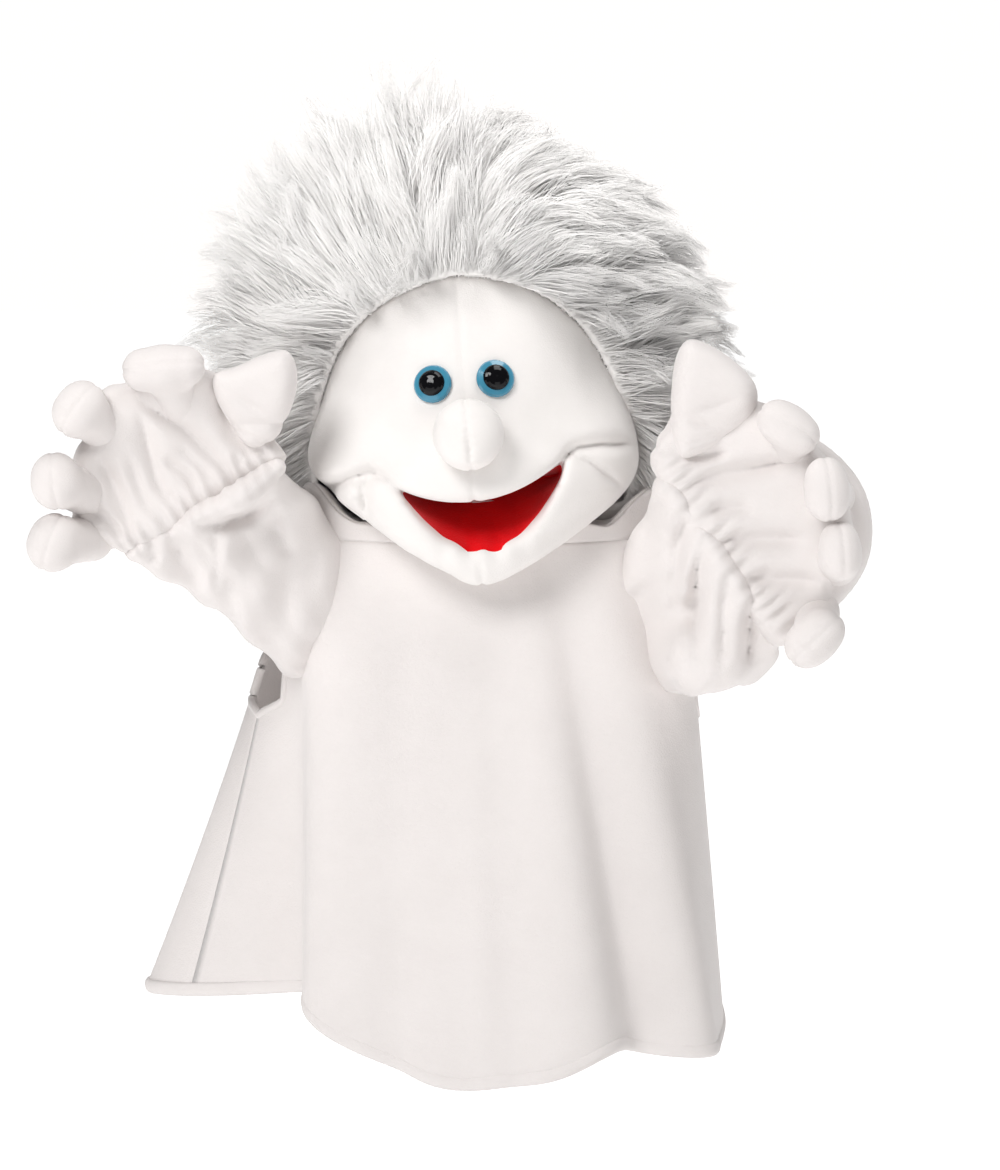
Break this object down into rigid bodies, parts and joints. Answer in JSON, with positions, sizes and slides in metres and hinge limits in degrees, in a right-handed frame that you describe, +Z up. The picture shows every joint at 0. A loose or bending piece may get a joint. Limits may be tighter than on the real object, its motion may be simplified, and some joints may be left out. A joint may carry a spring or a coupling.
{
  "type": "ghost hand puppet",
  "caption": "White plush hand puppet with a long robe open at the hem, a furry head with a moving mouth, and two padded five-fingered glove hands.",
  "frame": {"origin": "on the axis of the neck sleeve, halfway along it", "axes": "+Z up, -Y the way the face looks, +X towards the puppet's left hand"},
  "size_m": [0.346, 0.2136, 0.4256],
  "materials": {
    "robe_plush": "short white plush",
    "face_plush": "short cream-white plush",
    "fur": "long white faux fur",
    "red_felt": "red felt",
    "elastic": "woven elastic",
    "foam": "open-cell foam",
    "board": "matt board",
    "iris_blue": "polished",
    "pupil_black": "polished",
    "washer": "moulded"
  },
  "bodies": {
    "robe": {"robe_front": "robe_plush", "robe_back": "robe_plush", "hem_band": "robe_plush", "neck_sleeve": "robe_plush", "right_slot_binding": "robe_plush", "left_slot_binding": "robe_plush"},
    "neck": {"neck_ring": "robe_plush"},
    "head": {"skull_foam_right": "foam", "skull_foam_left": "foam", "face_right_panel": "face_plush", "face_left_panel": "face_plush", "wig_backing": "robe_plush", "wig_fur": "fur", "nose": "face_plush", "right_eye_iris": "iris_blue", "left_eye_iris": "iris_blue", "right_eye_pupil": "pupil_black", "left_eye_pupil": "pupil_black", "right_eye_washer": "washer", "left_eye_washer": "washer", "mouth_board_upper": "board", "mouth_lining_upper": "red_felt", "mouth_fold": "red_felt"},
    "jaw": {"jaw_foam": "foam", "chin_right_panel": "face_plush", "chin_left_panel": "face_plush", "mouth_board_lower": "board", "mouth_lining_lower": "red_felt", "thumb_strap": "elastic"},
    "right_shoulder": {"right_armhole_ring": "elastic"},
    "right_arm": {"right_sleeve": "robe_plush"},
    "right_hand": {"right_palm": "robe_plush", "right_hand_back": "robe_plush", "right_wrist_elastic": "elastic"},
    "right_thumb": {"right_thumb": "robe_plush"},
    "right_index": {"right_index": "robe_plush"},
    "right_middle": {"right_middle": "robe_plush"},
    "right_ring": {"right_ring": "robe_plush"},
    "right_little": {"right_little": "robe_plush"},
    "left_shoulder": {"left_armhole_ring": "elastic"},
    "left_arm": {"left_sleeve": "robe_plush"},
    "left_hand": {"left_palm": "robe_plush", "left_hand_back": "robe_plush", "left_wrist_elastic": "elastic"},
    "left_thumb": {"left_thumb": "robe_plush"},
    "left_index": {"left_index": "robe_plush"},
    "left_middle": {"left_middle": "robe_plush"},
    "left_ring": {"left_ring": "robe_plush"},
    "left_little": {"left_little": "robe_plush"}
  },
  "joints": [
    {"name": "head_turn", "type": "hinge", "parent": "robe", "child": "neck", "pos_m": [0, 0, 0.04], "axis": [0, 0, 1], "range_deg": [-20, 20]},
    {"name": "head_nod", "type": "hinge", "parent": "neck", "child": "head", "pos_m": [0, 0, 0.046], "axis": [-1, 0, 0], "range_deg": [-8, 15]},
    {"name": "jaw_open", "type": "hinge", "parent": "head", "child": "jaw", "pos_m": [-0.00357, -0.026, 0.07084], "axis": [0.9962, 0, 0.0872], "range_deg": [-19, 6]},
    {"name": "right_arm_swing", "type": "hinge", "parent": "robe", "child": "right_shoulder", "pos_m": [-0.074, -0.006, 0.008], "axis": [0, 0, -1], "range_deg": [-5, 20]},
    {"name": "right_arm_lift", "type": "hinge", "parent": "right_shoulder", "child": "right_arm", "pos_m": [-0.074, -0.006, 0.008], "axis": [0, 1, 0], "range_deg": [-20, 20]},
    {"name": "right_wrist_bend", "type": "hinge", "parent": "right_arm", "child": "right_hand", "pos_m": [-0.12, -0.072, 0.06], "axis": [0.866, 0, 0.5], "range_deg": [-8, 20]},
    {"name": "right_thumb_curl", "type": "hinge", "parent": "right_hand", "child": "right_thumb", "pos_m": [-0.09459, -0.072, 0.09199], "axis": [-0.9246, 0.2005, 0.3239], "range_deg": [-15, 20]},
    {"name": "right_index_curl", "type": "hinge", "parent": "right_hand", "child": "right_index", "pos_m": [-0.12341, -0.068, 0.10191], "axis": [0.6765, 0.012, 0.7363], "range_deg": [-15, 20]},
    {"name": "right_middle_curl", "type": "hinge", "parent": "right_hand", "child": "right_middle", "pos_m": [-0.15189, -0.068, 0.09124], "axis": [0.7484, -0.2377, 0.6192], "range_deg": [-15, 20]},
    {"name": "right_ring_curl", "type": "hinge", "parent": "right_hand", "child": "right_ring", "pos_m": [-0.16258, -0.068, 0.06775], "axis": [0.142, 0.0389, 0.9891], "range_deg": [-15, 20]},
    {"name": "right_little_curl", "type": "hinge", "parent": "right_hand", "child": "right_little", "pos_m": [-0.16374, -0.068, 0.04976], "axis": [-0.2108, -0.0676, 0.9752], "range_deg": [-15, 20]},
    {"name": "left_arm_swing", "type": "hinge", "parent": "robe", "child": "left_shoulder", "pos_m": [0.084, -0.006, 0.008], "axis": [0, 0, 1], "range_deg": [-5, 20]},
    {"name": "left_arm_lift", "type": "hinge", "parent": "left_shoulder", "child": "left_arm", "pos_m": [0.084, -0.006, 0.008], "axis": [0, -1, 0], "range_deg": [-20, 20]},
    {"name": "left_wrist_bend", "type": "hinge", "parent": "left_arm", "child": "left_hand", "pos_m": [0.097, -0.08, 0.047], "axis": [0.5807, 0, -0.8141], "range_deg": [-5, 20]},
    {"name": "left_thumb_curl", "type": "hinge", "parent": "left_hand", "child": "left_thumb", "pos_m": [0.09168, -0.08, 0.09234], "axis": [-0.9967, -0.0811, 0.0007], "range_deg": [-15, 20]},
    {"name": "left_index_curl", "type": "hinge", "parent": "left_hand", "child": "left_index", "pos_m": [0.13074, -0.076, 0.08581], "axis": [-0.0274, -0.5234, -0.8516], "range_deg": [-15, 20]},
    {"name": "left_middle_curl", "type": "hinge", "parent": "left_hand", "child": "left_middle", "pos_m": [0.14572, -0.076, 0.06824], "axis": [0.4661, -0.2543, -0.8474], "range_deg": [-15, 20]},
    {"name": "left_ring_curl", "type": "hinge", "parent": "left_hand", "child": "left_ring", "pos_m": [0.14745, -0.076, 0.03999], "axis": [-0.1566, -0.2971, -0.9419], "range_deg": [-15, 20]},
    {"name": "left_little_curl", "type": "hinge", "parent": "left_hand", "child": "left_little", "pos_m": [0.13976, -0.076, 0.01977], "axis": [-0.442, 0.4219, -0.7916], "range_deg": [-15, 20]}
  ]
}
